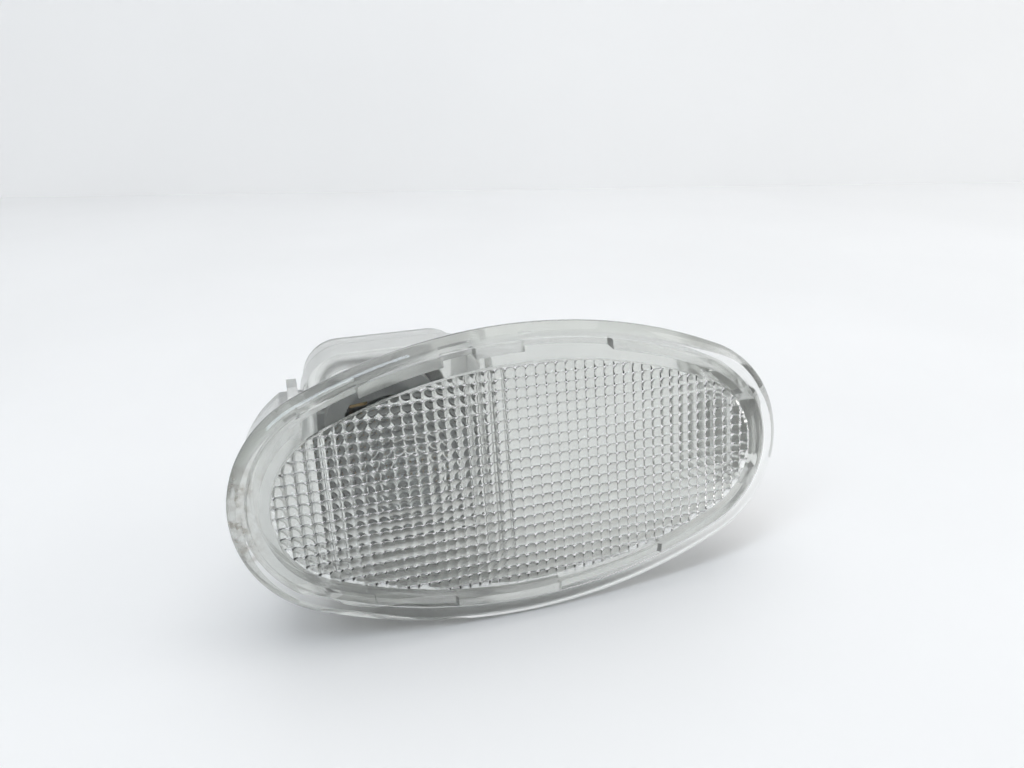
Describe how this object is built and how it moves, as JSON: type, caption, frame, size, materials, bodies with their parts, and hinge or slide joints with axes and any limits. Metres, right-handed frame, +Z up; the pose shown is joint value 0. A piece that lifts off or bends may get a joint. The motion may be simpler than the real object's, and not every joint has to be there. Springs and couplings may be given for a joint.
{
  "type": "car interior light",
  "caption": "Oval clear car lamp with a flanged pillow-optic lens, rear bulb chamber, twist-in bulb holder and spring clip.",
  "frame": {"origin": "centre of the lens flange's rear face, where it sits on the panel", "axes": "+X along the lamp's long axis towards the clip end, +Y from the lens back into the panel, +Z up"},
  "size_m": [0.075, 0.043, 0.0398],
  "materials": {
    "lens_clear": "gloss",
    "housing_clear": "gloss",
    "clip_steel": "satin",
    "holder_plastic": "satin",
    "seal_rubber": "matte",
    "contact_brass": "satin",
    "bulb_glass": "gloss",
    "bulb_wire": "satin"
  },
  "bodies": {
    "lamp": {"lens": "lens_clear", "housing": "housing_clear"},
    "holder": {"bulb_holder": "holder_plastic", "holder_seal": "seal_rubber", "contact_left": "contact_brass", "contact_right": "contact_brass", "bulb_glass": "bulb_glass", "bulb_filament": "bulb_wire", "lead_left": "bulb_wire", "lead_right": "bulb_wire"},
    "clip": {"spring_clip": "clip_steel"}
  },
  "joints": [
    {"name": "holder_twist", "type": "hinge", "parent": "lamp", "child": "holder", "pos_m": [-0.0143, 0.024, 0], "axis": [0, 1, 0], "range_deg": [0, 90]},
    {"name": "clip_flex", "type": "hinge", "parent": "lamp", "child": "clip", "pos_m": [0.0319, 0.0136, 0], "axis": [0, 0, -1], "range_deg": [0, 10], "stiffness_Nm_per_rad": 0.3}
  ]
}
